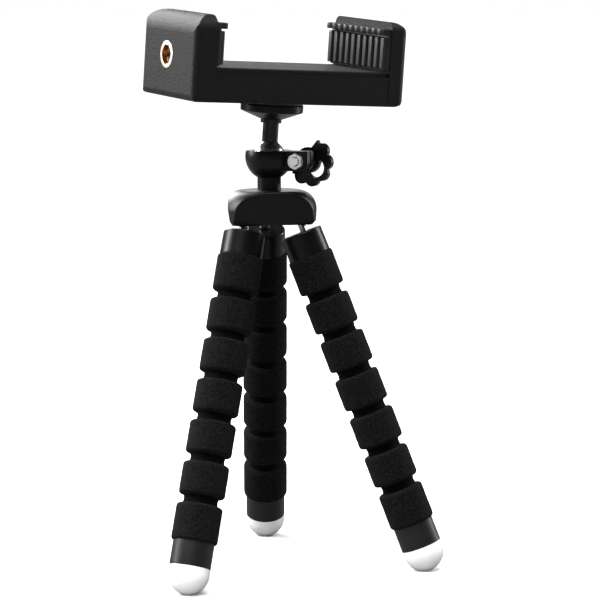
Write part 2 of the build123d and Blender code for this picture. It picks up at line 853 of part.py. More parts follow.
def threaded_insert(mouth, length):
    """Brass insert with a quarter-inch thread, its mouth on the given plane."""
    with BuildPart() as insert:
        with BuildSketch(mouth):
            Circle(insert_radius)
            Circle(quarter_inch_minor_radius, mode=Mode.SUBTRACT)
        extrude(amount=length)
        rim = insert.edges().filter_by(GeomType.CIRCLE).group_by(axis_of(mouth))[0]
        chamfer(rim.sort_by(SortBy.RADIUS)[0], insert_mouth_chamfer)
    return insert


write(
    threaded_insert(
        moved(clamp_end, x=end_insert_set_back, y=end_insert_height, z=left_end),
        end_insert_length,
    ),
    "end_insert",
)

# Base insert: the thread that turns on the platform's screw
with BuildPart() as base_insert:
    with BuildSketch(clamp):
        Circle(insert_radius)
        Circle(quarter_inch_major_radius + thread_fit, mode=Mode.SUBTRACT)
    extrude(amount=base_insert_length)
write(base_insert, "base_insert")

# Tray plate: covers the channel between the jaws
tray_right = sliding_face - tray_end_gap
with BuildPart() as tray_plate:
    with BuildSketch(moved(clamp, z=tray_bottom)) as tray_plan:
        with Locations(((fixed_face + tray_right) / 2, 0)):
            Rectangle(tray_right - fixed_face, clamp_depth - 2 * tray_side_inset)
        fillet(tray_plan.vertices().group_by(Axis.X)[-1], tray_corner_round)
    extrude(amount=tray_thickness)
    top_rim = tray_plate.faces().sort_by(axis_of(clamp))[-1].edges()
    chamfer(top_rim, tray_edge_chamfer)
    with BuildSketch(moved(clamp, z=tray_bottom)):
        with Locations(*[(x, 0) for x in post_places]):
            Circle(cover_screw_radius)
    extrude(amount=cover_screw_bite, mode=Mode.SUBTRACT)
write(tray_plate, "tray_plate")

# Cover screws: from below, through the posts into the tray plate
with BuildPart() as cover_screws:
    with BuildSketch(clamp):
        with Locations(*[(x, 0) for x in post_places]):
            Circle(cover_screw_head_radius)
    extrude(amount=cover_screw_head_height)
    with BuildSketch(clamp):
        with Locations(*[(x, 0) for x in post_places]):
            Circle(cover_screw_radius)
    extrude(amount=base_height + cover_screw_bite)
write(cover_screws, "cover_screws")

# Sliding jaw: the outer jaw with a forked tongue that runs in the channel
jaw_block = clamp_moulding(
    [
        (sliding_face, 0),
        (right_end, 0),
        (right_end, jaw_height),
        (sliding_face, jaw_height),
    ],
    [
        ((right_end, jaw_height, 0), sliding_jaw_end_round),
        ((right_end, 0, 0), sliding_jaw_bottom_round),
    ],
    sliding_jaw_side_round,
    sliding_face,
    right_end,
)
fork_end = boss_radius + fork_slot_clear
with BuildPart() as sliding_jaw:
    add(jaw_block)
    with BuildSketch(moved(clamp, z=tongue_bottom)):
        with Locations(((sliding_face - tongue_end) / 2, 0)):
            Rectangle(sliding_face + tongue_end, 2 * tongue_half)
    extrude(amount=tongue_top - tongue_bottom)
    with BuildSketch(moved(clamp, z=tongue_bottom)):
        with Locations(((fork_end - tongue_end) / 2, 0)):
            Rectangle(fork_end + tongue_end, 2 * fork_slot_half_width)
    extrude(amount=tongue_top - tongue_bottom, mode=Mode.SUBTRACT)
    groove_end = sliding_pin_x + spring_groove_width / 2
    with BuildSketch(moved(clamp, z=groove_floor)):
        for side in (-spring_line, spring_line):
            with Locations(((groove_end - tongue_end) / 2, side)):
                Rectangle(groove_end + tongue_end, spring_groove_width)
    extrude(amount=tongue_top - groove_floor, mode=Mode.SUBTRACT)
    with BuildSketch(moved(clamp, z=groove_floor)):
        with Locations((sliding_pin_x, spring_line), (sliding_pin_x, -spring_line)):
            Circle(pin_radius)
    extrude(amount=-spring_groove_floor, mode=Mode.SUBTRACT)
write(sliding_jaw, "sliding_jaw")


# Spring pins: two pressed into the channel's floor, two into the tongue
def spring_pins(x, bottom):
    """A pair of upright pins that the spring hooks go round."""
    with BuildPart() as pins:
        with BuildSketch(moved(clamp, z=bottom)):
            with Locations((x, spring_line), (x, -spring_line)):
                Circle(pin_radius)
        extrude(amount=pin_top - bottom)
    return pins


write(spring_pins(fixed_pin_x, channel_floor - pin_press_depth), "fixed_spring_pins")
write(spring_pins(sliding_pin_x, tongue_bottom), "sliding_spring_pins")


# Jaw springs: one tension coil on each side, hooked over its two pins
def biarc(start, start_way, end, end_way):
    """Two arcs that leave one point along its direction and reach the other along its own."""
    chord = end - start
    ways = start_way + end_way
    turn = 2 * (1 - start_way.dot(end_way))
    along = chord.dot(ways)
    reach = (sqrt(along * along + turn * chord.dot(chord)) - along) / turn
    first = start + start_way * reach
    second = end - end_way * reach
    middle = (first + second) * 0.5
    TangentArc(start, middle, tangent=start_way)
    TangentArc(middle, end, tangent=second - first)


def jaw_spring(side):
    """One unbroken wire: hook, coil and hook, from the fixed pin to the sliding one."""
    place = moved(clamp, x=fixed_pin_x, y=side * spring_line, z=spring_height)
    hook_radius = pin_radius + pin_hook_clear + spring_wire_radius
    span = sliding_pin_x - fixed_pin_x
    coil_start = (span - spring_turns * spring_pitch) / 2
    rise = spring_pitch / (2 * pi)
    ahead = place.x_dir

    def at(x, y, z=0):
        """Point given in the spring's own frame."""
        return place.from_local_coords((x, y, z))

    def coil(quarter):
        """Point and direction of the coil after this many quarter turns."""
        angle = quarter * pi / 2
        point = at(
            coil_start + rise * angle,
            spring_coil_radius * cos(angle),
            spring_coil_radius * sin(angle),
        )
        way = at(
            rise,
            -spring_coil_radius * sin(angle),
            spring_coil_radius * cos(angle),
        )
        return point, (way - place.origin).normalized()

    with BuildPart() as spring:
        with BuildLine() as path:
            ThreePointArc(at(0, -hook_radius), at(-hook_radius, 0), at(0, hook_radius))
            biarc(at(0, hook_radius), ahead, *coil(0))
            for quarter in range(4 * spring_turns):
                biarc(*coil(quarter), *coil(quarter + 1))
            biarc(*coil(4 * spring_turns), at(span, hook_radius), ahead)
            ThreePointArc(at(span, hook_radius), at(span + hook_radius, 0), at(span, -hook_radius))
        wire = path.wires()[0]
        with BuildSketch(Plane(origin=wire @ 0, z_dir=wire % 0)):
            Circle(spring_wire_radius)
        sweep(path=wire)
    points = [wire @ (index / spring_samples) for index in range(spring_samples + 1)]
    near_turn = spring_near_turns * 2 * pi * spring_coil_radius
    apart = int(spring_samples * near_turn / wire.length)
    nearest = min(
        (points[index] - other).length
        for index in range(len(points))
        for other in points[index + apart:index + 4 * apart]
    )
    print("spring: least gap to itself", round(nearest - 2 * spring_wire_radius, 2))
    return spring.part


spring_solids = [jaw_spring(side) for side in (-1, 1)]
with BuildPart() as jaw_springs:
    for solid in spring_solids:
        add(solid)
write(jaw_springs, "jaw_springs")


# Jaw pads: ribbed rubber with a toothed lip along the top
def jaw_pad(face, inward):
    """Pad on the jaw's inner face, its ribs and lip reaching inward."""
    bottom = tray_top + pad_above_tray
    top = jaw_height - pad_top_inset
    half = clamp_depth / 2 - pad_side_inset
    lip_bottom = top - pad_lip_height
    lip_end = pad_thickness + pad_lip_reach
    rib_bottom = bottom + pad_margin
    rib_top = lip_bottom - pad_lip_gap
    tooth_pitch = 2 * half / pad_tooth_count
    with BuildPart() as pad:
        with BuildSketch(moved(clamp, x=face, z=bottom)):
            with Locations((inward * pad_base / 2, 0)):
                Rectangle(pad_base, 2 * half)
        extrude(amount=top - bottom)
        with BuildSketch(moved(clamp, x=face, z=rib_bottom)):
            with Locations((inward * pad_thickness / 2, 0)):
                with GridLocations(0, pad_rib_pitch, 1, pad_rib_count):
                    Rectangle(pad_thickness, pad_rib_width)
        extrude(amount=rib_top - rib_bottom)
        with BuildSketch(moved(clamp, x=face, z=lip_bottom)):
            with Locations((inward * lip_end / 2, 0)):
                Rectangle(lip_end, 2 * half)
            with Locations((inward * lip_end, 0)):
                with GridLocations(0, tooth_pitch, 1, pad_tooth_count - 1):
                    Circle(pad_notch_radius, mode=Mode.SUBTRACT)
        extrude(amount=pad_lip_height)
    return pad


write(jaw_pad(fixed_face, 1), "fixed_jaw_pad")
write(jaw_pad(sliding_face, -1), "sliding_jaw_pad")

# Where the mounts and joints stand, for the record
for title, place in (
    ("hub axis", Vector(hub_x, hub_y, hub_top)),
    ("ball centre", ball_point),
    ("bolt", bolt_point),
    ("clamp underside", clamp.origin),
    (
        "end thread mouth",
        clamp.from_local_coords((left_end, end_insert_set_back, end_insert_height)),
    ),
):
    print(title, round(place.X, 3), round(place.Y, 3), round(place.Z, 3))
print("jaw travel", round(jaw_travel, 2))
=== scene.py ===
import bmesh
import bpy
import json
from math import cos, pi, radians, sin, tan
from mathutils import Matrix, Vector


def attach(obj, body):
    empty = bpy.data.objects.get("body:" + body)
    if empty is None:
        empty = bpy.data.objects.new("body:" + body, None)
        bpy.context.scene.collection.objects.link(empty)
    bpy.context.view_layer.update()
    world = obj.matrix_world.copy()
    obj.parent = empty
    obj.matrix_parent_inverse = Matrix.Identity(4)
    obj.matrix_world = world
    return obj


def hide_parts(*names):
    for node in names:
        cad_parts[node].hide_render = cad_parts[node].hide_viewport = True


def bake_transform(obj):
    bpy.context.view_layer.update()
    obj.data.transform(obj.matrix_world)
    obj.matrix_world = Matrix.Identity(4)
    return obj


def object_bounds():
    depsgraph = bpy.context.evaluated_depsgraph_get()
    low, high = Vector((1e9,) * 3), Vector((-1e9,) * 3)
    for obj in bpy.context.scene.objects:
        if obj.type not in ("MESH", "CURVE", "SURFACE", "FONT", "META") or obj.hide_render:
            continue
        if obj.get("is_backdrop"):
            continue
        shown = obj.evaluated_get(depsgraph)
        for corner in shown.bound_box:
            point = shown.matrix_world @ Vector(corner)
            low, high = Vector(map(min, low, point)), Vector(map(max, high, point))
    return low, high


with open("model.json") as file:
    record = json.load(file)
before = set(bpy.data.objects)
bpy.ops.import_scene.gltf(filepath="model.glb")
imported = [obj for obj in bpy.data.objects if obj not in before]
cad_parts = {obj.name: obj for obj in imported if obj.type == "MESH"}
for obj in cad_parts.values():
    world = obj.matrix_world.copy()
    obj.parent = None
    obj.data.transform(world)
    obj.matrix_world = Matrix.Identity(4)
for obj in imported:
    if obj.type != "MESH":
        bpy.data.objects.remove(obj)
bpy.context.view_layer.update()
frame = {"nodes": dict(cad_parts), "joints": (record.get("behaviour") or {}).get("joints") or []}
nodes = frame["nodes"]
joints = {joint["name"]: joint for joint in frame["joints"]}
mm = 0.001
exact = 0.01 * mm  # points this close lie at the same height
near = 0.05 * mm  # points this close to a line or a circle lie on it
facing = 0.9  # from this cosine a face looks along an axis
sideways = 0.3  # below this cosine it looks away from the axis
print("frame loaded with", len(nodes), "nodes")


# Places of the object, all read from its joints
def jointPoint(name):
    return Vector(joints[name]["pos_m"])


def jointAxis(name):
    return Vector(joints[name]["axis"]).normalized()


def placeAt(origin, zAxis, xAxis):
    zAxis = zAxis.normalized()
    xAxis = (xAxis - zAxis * xAxis.dot(zAxis)).normalized()
    turned = Matrix((xAxis, zAxis.cross(xAxis), zAxis)).transposed()
    return Matrix.Translation(origin) @ turned.to_4x4()


up = Vector((0, 0, 1))
ballCentre = jointPoint("head_tilt")
hubCentre = Vector((ballCentre.x, ballCentre.y, 0))  # on the floor
clampPlace = placeAt(
    jointPoint("clamp_swivel"), jointAxis("clamp_swivel"), jointAxis("jaw_slide"))
boltAxis = jointAxis("knob_turn")
boltPlace = placeAt(jointPoint("knob_turn"), boltAxis, up.cross(boltAxis))
legNames = ["left", "right", "rear"]
foamCount = 7


def legPlace(leg):
    # z runs down the leg from its pivot, and x leans outward and up
    down = jointPoint(f"{leg}_leg_bend_6") - jointPoint(f"{leg}_leg_bend_1")
    return placeAt(jointPoint(f"{leg}_leg_spread"), down, up)


def legBody(leg, number):
    if number == 1:
        return f"{leg}_top"
    return f"{leg}_end" if number == foamCount else f"{leg}_foam_{number}"


# Modelling by hand: one active object, faces and edges picked by their place
def clearSelection():
    if bpy.context.mode != "OBJECT":
        bpy.ops.object.mode_set(mode="OBJECT")
    bpy.ops.object.select_all(action="DESELECT")


def activate(piece):
    clearSelection()
    piece.select_set(True)
    bpy.context.view_layer.objects.active = piece


def named(name):
    piece = bpy.context.object
    piece.name = name
    piece.data.name = name
    return piece


def startRod(name, radius, low, high, sides):
    clearSelection()
    bpy.ops.mesh.primitive_cylinder_add(
        vertices=sides, radius=radius, depth=high - low, location=(0, 0, (low + high) / 2))
    bpy.ops.object.transform_apply(location=True, rotation=True, scale=True)
    return named(name)


def startBlock(name, low, high):
    clearSelection()
    low, high = Vector(low), Vector(high)
    bpy.ops.mesh.primitive_cube_add(size=1, location=(low + high) / 2)
    bpy.context.object.scale = high - low
    bpy.ops.object.transform_apply(location=True, rotation=True, scale=True)
    return named(name)


def edit(piece):
    activate(piece)
    bpy.ops.object.mode_set(mode="EDIT")
    bpy.ops.mesh.select_mode(type="FACE")
    bpy.ops.mesh.select_all(action="DESELECT")


def endEdit():
    bpy.ops.object.mode_set(mode="OBJECT")


def pickFaces(piece, test):
    bpy.ops.mesh.select_mode(type="FACE")
    bpy.ops.mesh.select_all(action="DESELECT")
    mesh = bmesh.from_edit_mesh(piece.data)
    for face in mesh.faces:
        if test(face.calc_center_median(), face.normal):
            face.select_set(True)
    mesh.select_flush_mode()
    bmesh.update_edit_mesh(piece.data)


def pickEdges(piece, test):
    bpy.ops.mesh.select_mode(type="EDGE")
    bpy.ops.mesh.select_all(action="DESELECT")
    mesh = bmesh.from_edit_mesh(piece.data)
    for edge in mesh.edges:
        if test(edge.verts[0].co, edge.verts[1].co):
            edge.select_set(True)
    mesh.select_flush_mode()
    bmesh.update_edit_mesh(piece.data)


def rimAt(height):
    return lambda a, b: abs(a.z - height) < exact and abs(b.z - height) < exact


def capAt(height):
    return lambda centre, normal: abs(centre.z - height) < exact and abs(normal.z) > facing


def endFace(away):
    # the middle face at the top (1) or the bottom (-1)
    return lambda centre, normal: normal.z * away > facing and centre.xy.length < 2 * near


def applyModifier(piece, kind, **values):
    activate(piece)
    modifier = piece.modifiers.new(kind.title(), kind)
    for key, value in values.items():
        setattr(modifier, key, value)
    bpy.ops.object.modifier_apply(modifier=modifier.name)


def smooth(piece, angle):
    activate(piece)
    bpy.ops.object.shade_smooth_by_angle(angle=radians(angle))


def putAt(piece, place):
    activate(piece)
    piece.matrix_world = place
    bpy.ops.object.transform_apply(location=True, rotation=True, scale=True)
    return piece


def copyOf(piece, name):
    copy = piece.copy()
    copy.data = piece.data.copy()
    copy.name = name
    copy.data.name = name
    bpy.context.scene.collection.objects.link(copy)
    return copy


def joined(parts, name):
    # the first part takes in the others
    clearSelection()
    for part in parts:
        part.select_set(True)
    bpy.context.view_layer.objects.active = parts[0]
    bpy.ops.object.join()
    return named(name)


def reachOf(nodeName, place):
    # lowest and highest corner of a carried-over node, seen in the given place
    back = place.inverted()
    points = [back @ vertex.co for vertex in nodes[nodeName].data.vertices]
    return (Vector([min(point[axis] for point in points) for axis in range(3)]),
            Vector([max(point[axis] for point in points) for axis in range(3)]))


def remove(piece):
    mesh = piece.data
    bpy.data.objects.remove(piece)
    bpy.data.meshes.remove(mesh)


def dress(piece, material):
    piece.data.materials.clear()
    piece.data.materials.append(material)


# Finishes: each is one shader with a pattern fixed to its piece
surface = {  # what the plastics and the metals share
    "rampLow": 0.3, "rampHigh": 0.7, "fineDetail": 4.0, "fineRoughness": 0.6, "patchRatio": 40,
    "patchBump": 0.15, "patchDepth": 2, "grainBump": 0.5, "lineBump": 0.35}
foamFinish = {
    "dark": (0.0015, 0.0015, 0.0017), "light": (0.012, 0.012, 0.0125), "roughness": 0.95,
    "specular": 0.07, "sheen": 0.01, "sheenRoughness": 0.5, "poreScale": 2600,
    "grainScale": 1900, "grainDetail": 4.0, "grainRoughness": 0.7, "grainLow": 0.38,
    "grainHigh": 0.68, "patchScale": 180, "patchDetail": 2.0, "patchLow": 0.86, "patchHigh": 1.0,
    "patchBump": (0.3, 0.25 * mm), "poreBump": (0.7, 0.12 * mm), "grainBump": (0.6, 0.08 * mm)}


def finish(name, color, roughness, metallic=0.0, specular=0.5, **more):
    material = bpy.data.materials.new(name)
    material.use_nodes = True
    shader = material.node_tree.nodes["Principled BSDF"]
    shader.inputs["Base Color"].default_value = (*color, 1)
    shader.inputs["Roughness"].default_value = roughness
    shader.inputs["Metallic"].default_value = metallic
    shader.inputs["Specular IOR Level"].default_value = specular
    for key, value in more.items():
        shader.inputs[key.replace("_", " ")].default_value = value
    return material


def addNode(material, kind, **values):
    node = material.node_tree.nodes.new(kind)
    for key, value in values.items():
        if key in node.inputs:
            node.inputs[key].default_value = value
        else:
            setattr(node, key, value)
    return node


def link(material, source, target):
    material.node_tree.links.new(source, target)


def patternPlace(material, stretch=(1, 1, 1)):
    coordinates = addNode(material, "ShaderNodeTexCoord")
    mapping = addNode(material, "ShaderNodeMapping", Scale=stretch)
    link(material, coordinates.outputs["Object"], mapping.inputs["Vector"])
    return mapping.outputs["Vector"]


def noise(material, place, scale, detail=3.0, roughness=0.55):
    # a noise pattern; scale is in cells per metre
    node = addNode(
        material, "ShaderNodeTexNoise", Scale=scale, Detail=detail, Roughness=roughness)
    link(material, place, node.inputs["Vector"])
    return node.outputs["Fac"]


def cells(material, place, scale):
    node = addNode(material, "ShaderNodeTexVoronoi", Scale=scale)
    link(material, place, node.inputs["Vector"])
    return node.outputs["Distance"]


def ramp(material, value, low, high, lowColor, highColor):
    node = addNode(material, "ShaderNodeValToRGB")
    stops = node.color_ramp.elements
    stops[0].position, stops[1].position = low, high
    stops[0].color, stops[1].color = (*lowColor, 1), (*highColor, 1)
    link(material, value, node.inputs["Fac"])
    return node.outputs["Color"]


def spread(material, value, low, high):
    node = addNode(material, "ShaderNodeMapRange")
    node.inputs["To Min"].default_value = low
    node.inputs["To Max"].default_value = high
    link(material, value, node.inputs["Value"])
    return node.outputs["Result"]


def bumps(material, *layers):
    # each layer is (height, strength, depth in metres), from the coarse one to the fine one
    shader = material.node_tree.nodes["Principled BSDF"]
    last = None
    for height, strength, depth in layers:
        node = addNode(material, "ShaderNodeBump", Strength=strength, Distance=depth)
        link(material, height, node.inputs["Height"])
        if last:
            link(material, last.outputs["Normal"], node.inputs["Normal"])
        last = node
    link(material, last.outputs["Normal"], shader.inputs["Normal"])


def toShader(material, output, socket):
    link(material, output, material.node_tree.nodes["Principled BSDF"].inputs[socket])


def makeFoam(name, paintedShadeFactor):
    # painted shade: the factor scales the foam's colour down where it lies deep in a groove,
    # standing in for the shade there
    values = foamFinish
    material = finish(name, values["light"], values["roughness"], specular=values["specular"],
                      Sheen_Weight=values["sheen"], Sheen_Roughness=values["sheenRoughness"])
    place = patternPlace(material)
    pores = cells(material, place, values["poreScale"])
    grain = noise(
        material, place, values["grainScale"], values["grainDetail"], values["grainRoughness"])
    patches = noise(material, place, values["patchScale"], values["patchDetail"])
    # painted shade: both foam tones are darkened by the factor
    dark, light = [[tone * paintedShadeFactor for tone in values[key]] for key in ("dark", "light")]
    color = ramp(material, grain, values["grainLow"], values["grainHigh"], dark, light)
    toShader(material, color, "Base Color")
    rough = spread(material, patches, values["patchLow"], values["patchHigh"])
    toShader(material, rough, "Roughness")
    bumps(material, (patches, *values["patchBump"]), (pores, *values["poreBump"]),
          (grain, *values["grainBump"]))
    return material


def shadeBy(material, pattern, dark, light, rough):
    # one pattern moves both the colour and the roughness
    color = ramp(material, pattern, surface["rampLow"], surface["rampHigh"], dark, light)
    toShader(material, color, "Base Color")
    toShader(material, spread(material, pattern, *rough), "Roughness")


def makePlastic(name, dark, light, rough, grainScale, depth, specular=0.5, **more):
    material = finish(name, light, rough[1], specular=specular, **more)
    place = patternPlace(material)
    grain = noise(material, place, grainScale, roughness=surface["fineRoughness"])
    patches = noise(material, place, grainScale / surface["patchRatio"])
    shadeBy(material, patches, dark, light, rough)
    bumps(material, (patches, surface["patchBump"], depth * surface["patchDepth"]),
          (grain, surface["grainBump"], depth))
    return material


def makeMetal(name, dark, light, rough, lineScale, stretch, depth=0.01 * mm, metallic=1.0):
    # stretch is how much closer the lines lie along the piece's z than across it
    material = finish(name, light, rough[1], metallic=metallic)
    place = patternPlace(material, (1, 1, stretch))
    lines = noise(
        material, place, lineScale, surface["fineDetail"], surface["fineRoughness"])
    shadeBy(material, lines, dark, light, rough)
    bumps(material, (lines, surface["lineBump"], depth))
    return material


foamBlack = makeFoam("foamBlack", paintedShadeFactor=1)
# painted shade: the necks' foam is a quarter as light, for the shade deep in the grooves
foamGroovePaintedShade = makeFoam("foamGroovePaintedShade", paintedShadeFactor=0.25)
plasticMatte = makePlastic(
    "plasticMatte", dark=(0.0016, 0.0016, 0.0017), light=(0.0038, 0.0038, 0.004),
    rough=(0.5, 0.62), grainScale=1500, depth=0.25 * mm, specular=0.3)
glossBlack = makePlastic(
    "glossBlack", dark=(0.002, 0.002, 0.0021), light=(0.004, 0.004, 0.0042),
    rough=(0.16, 0.26), grainScale=1500, depth=0.006 * mm, specular=0.45)
hubSatin = makePlastic(
    "hubSatin", dark=(0.0012, 0.0012, 0.0013), light=(0.0026, 0.0026, 0.0027),
    rough=(0.3, 0.4), grainScale=2100, depth=0.04 * mm, specular=0.27)
satinCap = makePlastic(
    "satinCap", dark=(0.0014, 0.0014, 0.0015), light=(0.0032, 0.0032, 0.0034),
    rough=(0.28, 0.36), grainScale=2200, depth=0.02 * mm, specular=0.26)
matteCap = makePlastic(
    "matteCap", dark=(0.004, 0.004, 0.0042), light=(0.010, 0.010, 0.0104),
    rough=(0.38, 0.48), grainScale=1500, depth=0.12 * mm, specular=0.4)
blackRubber = makePlastic(
    "blackRubber", dark=(0.004, 0.004, 0.0042), light=(0.010, 0.010, 0.0105),
    rough=(0.4, 0.55), grainScale=2600, depth=0.02 * mm)
whiteFoot = makePlastic(
    "whiteFoot", dark=(0.93, 0.93, 0.93), light=(0.98, 0.98, 0.98),
    rough=(0.35, 0.45), grainScale=1800, depth=0.01 * mm,
    Subsurface_Weight=0.3, Subsurface_Scale=2.0 * mm)
# partly painted highlight: real brass, paled almost to white and only half metallic so the
# insert's ring shows bright highlights
brass = makeMetal(
    "brass", dark=(0.86, 0.70, 0.56), light=(0.99, 0.90, 0.80),
    rough=(0.32, 0.45), lineScale=900, stretch=6, metallic=0.55)
# painted shade: the dark brown brass stands in for the shade deep in the threaded bore
shadedThreadBrass = makeMetal(
    "shadedThreadBrass", dark=(0.24, 0.11, 0.05), light=(0.62, 0.34, 0.17),
    rough=(0.25, 0.4), lineScale=1100, stretch=6)
steel = makeMetal(
    "steel", dark=(0.62, 0.62, 0.63), light=(0.90, 0.90, 0.91),
    rough=(0.22, 0.38), lineScale=1400, stretch=4)
ballChrome = makeMetal(
    "ballChrome", dark=(0.62, 0.62, 0.625), light=(0.76, 0.76, 0.765),
    rough=(0.24, 0.32), lineScale=900, stretch=2, depth=0.003 * mm)
brightZinc = makeMetal(
    "brightZinc", dark=(0.72, 0.72, 0.73), light=(0.94, 0.94, 0.95),
    rough=(0.28, 0.42), lineScale=1400, stretch=4, metallic=0.6)
wireAluminium = makeMetal(
    "wireAluminium", dark=(0.5, 0.5, 0.52), light=(0.8, 0.8, 0.82),
    rough=(0.22, 0.38), lineScale=1600, stretch=0.15)
print("finishes made:", len(bpy.data.materials))

# Nodes that keep their own shape, by finish
cadFinish = {
    plasticMatte: ["clamp_body", "tray_plate", "sliding_jaw", "hub_base"],
    hubSatin: ["hub_shell", "socket_cup"],
    glossBlack: ["stem", "clamp_knob"],
    satinCap: ["platform", *(f"{leg}_leg_top_cap" for leg in legNames)],
    matteCap: [f"{leg}_leg_end_cap" for leg in legNames],
    whiteFoot: [f"{leg}_leg_foot" for leg in legNames],
    blackRubber: ["platform_pad"],
    brightZinc: ["clamp_bolt", "clamp_washer"],
    ballChrome: ["ball"],
    steel: ["hub_screws", "neck_screw", "mount_screw", "cover_screws", "fixed_spring_pins",
            "sliding_spring_pins"],
    brass: ["base_insert"],
}
for material, names in cadFinish.items():
    for name in names:
        nodes[name].data.materials.clear()
        nodes[name].data.materials.append(material)
print("carried-over nodes dressed")

# Foam sleeve of each leg: seven barrels, joined by the slimmer necks in the grooves
foam = {
    "radius": 7.0 * mm, "edgeRadius": 6.05 * mm, "shoulder": 0.95 * mm, "shoulderSteps": 5,
    "first": 9.6 * mm, "pitch": 12.6 * mm, "clear": 0.3 * mm, "grooveAngle": 10,
    "bore": 1.65 * mm, "spigotRadius": 5.1 * mm, "spigotLength": 5.0 * mm,
    "sides": 64, "rows": 9, "ruffle": 0.035 * mm, "ruffleUniform": 0.3, "ruffleNormal": 0.6,
    "ruffleSeed": 4, "turn": 1.1, "neckRadius": 5.3 * mm, "neckWaist": 0.15 * mm,
    "neckWaistReach": 0.8, "neckOverlap": 0.25 * mm, "neckRows": 7, "neckSides": 32,
    "smoothAngle": 50}


def grooveHalf(radius):
    # half of a groove's width at the given radius
    return foam["clear"] + radius * tan(radians(foam["grooveAngle"]))


def openBore(piece, ends):
    # the middle of each end face goes, and a sleeve joins the two holes
    for height in ends:
        pickFaces(piece, lambda c, n: capAt(height)(c, n) and c.xy.length < near)
        bpy.ops.mesh.delete(type="FACE")
    pickEdges(piece, lambda a, b: any(rimAt(height)(a, b) for height in ends)
              and abs(a.xy.length - foam["bore"]) < near
              and abs(b.xy.length - foam["bore"]) < near)
    bpy.ops.mesh.bridge_edge_loops()


def modelBarrel(name, topGroove, bottomGroove):
    values = foam
    low = grooveHalf(values["edgeRadius"]) if topGroove else 0
    high = values["pitch"] - (grooveHalf(values["edgeRadius"]) if bottomGroove else 0)
    barrel = startRod(name, values["radius"], low, high, values["sides"])
    edit(barrel)
    pickEdges(barrel, lambda a, b: rimAt(low)(a, b) or rimAt(high)(a, b))
    bpy.ops.mesh.bevel(offset=values["shoulder"], segments=values["shoulderSteps"])
    pickEdges(barrel, lambda a, b: abs(a.z - b.z) > (high - low) / 2)
    bpy.ops.mesh.subdivide(number_cuts=values["rows"])
    ends = []
    rim = values["radius"] - values["shoulder"]
    for height, away, groove in ((low, -1, topGroove), (high, 1, bottomGroove)):
        pickFaces(barrel, endFace(away))
        if groove:
            rise = (rim - values["bore"]) * tan(radians(values["grooveAngle"]))
            bpy.ops.mesh.inset(thickness=rim - values["bore"], depth=rise)
            ends.append(height + away * rise)
        else:
            bpy.ops.mesh.inset(thickness=rim - values["spigotRadius"])
            bpy.ops.mesh.extrude_region_move(
                TRANSFORM_OT_translate={"value": (0, 0, away * values["spigotLength"])})
            bpy.ops.mesh.inset(thickness=values["spigotRadius"] - values["bore"])
            ends.append(height + away * values["spigotLength"])
    openBore(barrel, ends)
    # the cut foam is never quite even
    middle = (low + high) / 2
    pickFaces(barrel, lambda c, n: abs(n.z) < sideways and c.xy.length > values["edgeRadius"]
              and abs(c.z - middle) < (high - low) / 2 - values["shoulder"])
    bpy.ops.transform.vertex_random(
        offset=values["ruffle"], uniform=values["ruffleUniform"], normal=values["ruffleNormal"],
        seed=values["ruffleSeed"])
    endEdit()
    smooth(barrel, values["smoothAngle"])
    return barrel


def modelNeck(name):
    values = foam
    half = grooveHalf(values["neckRadius"]) + values["neckOverlap"]
    neck = startRod(name, values["neckRadius"], -half, half, values["neckSides"])
    edit(neck)
    pickEdges(neck, lambda a, b: abs(a.z - b.z) > half)
    bpy.ops.mesh.subdivide(number_cuts=values["neckRows"])
    pickEdges(neck, rimAt(0))
    waist = 1 - values["neckWaist"] / values["neckRadius"]
    bpy.ops.transform.resize(
        value=(waist, waist, 1), use_proportional_edit=True,
        proportional_size=half * values["neckWaistReach"])
    for away in (-1, 1):
        pickFaces(neck, endFace(away))
        bpy.ops.mesh.inset(thickness=values["neckRadius"] - values["bore"])
    openBore(neck, (-half, half))
    endEdit()
    smooth(neck, values["smoothAngle"])
    return neck


barrelModels = {
    1: modelBarrel("barrelTop", False, True),
    foamCount: modelBarrel("barrelBottom", True, False),
    0: modelBarrel("barrelMiddle", True, True)}
neckModel = modelNeck("neckModel")
for leg in legNames:
    place = legPlace(leg)
    for number in range(1, foamCount + 1):
        model = barrelModels.get(number, barrelModels[0])
        barrel = copyOf(model, f"{leg}FoamBarrel{number}")
        along = Vector((0, 0, foam["first"] + (number - 1) * foam["pitch"]))
        turned = Matrix.Rotation(number * foam["turn"], 4, "Z")  # no two barrels look the same
        putAt(barrel, place @ Matrix.Translation(along) @ turned)
        dress(barrel, foamBlack)
        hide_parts(f"{leg}_leg_foam_{number}")
        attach(barrel, legBody(leg, number))
        if number < foamCount:
            neck = copyOf(neckModel, f"{leg}FoamNeck{number}")
            along.z += foam["pitch"]
            putAt(neck, place @ Matrix.Translation(along))
            # the neck takes the foam with the painted groove shade
            dress(neck, foamGroovePaintedShade)
            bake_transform(neck)
for model in [*barrelModels.values(), neckModel]:
    remove(model)
print("foam sleeves modelled")

# Bendable wires: a bent root in the hub, then a length from barrel to barrel
wire = {
    "radius": 1.5 * mm, "bendRadius": 4.0 * mm, "rootLength": 8.0 * mm, "sides": 24,
    "rootEnd": 15.9 * mm, "rootCuts": 3, "end": 109.1 * mm, "bendSteps": 6, "cuts": 9,
    "blendReach": 1.2 * mm, "smoothAngle": 40}
lean = (legPlace("left").to_3x3() @ up).angle(-up)  # of each leg from the upright


